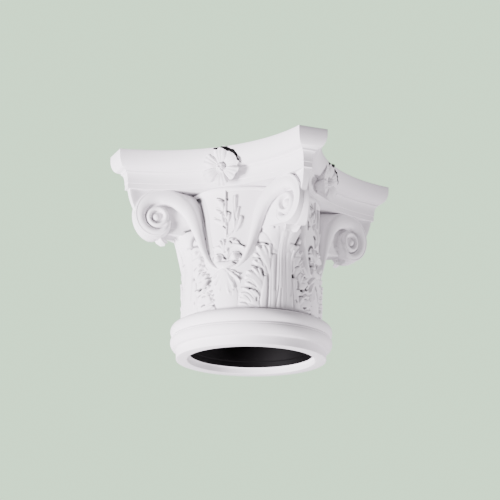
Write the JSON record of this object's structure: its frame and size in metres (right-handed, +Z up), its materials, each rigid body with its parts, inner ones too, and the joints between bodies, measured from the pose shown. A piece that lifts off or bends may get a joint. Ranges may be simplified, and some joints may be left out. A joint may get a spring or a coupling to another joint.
{
  "type": "corinthian capital",
  "caption": "Cast Corinthian column capital: moulded ring at the foot, bell with acanthus leaves, stems that end in corner scrolls, hollow-sided moulded abacus with flowers, open socket below",
  "frame": {"origin": "middle of the foot's underside, on the axis of the column", "axes": "+Z is up along the column; -Y, +X, +Y and -X are the four hollow sides, each with a flower; the scrolls and the abacus corners lie between them"},
  "size_m": [0.4016, 0.4016, 0.343],
  "materials": {
    "cast_white": "white primer on a cast piece, matt and very slightly warm, with no gilding and no wear"
  },
  "bodies": {
    "root": {"capital": "cast_white"}
  },
  "joints": []
}
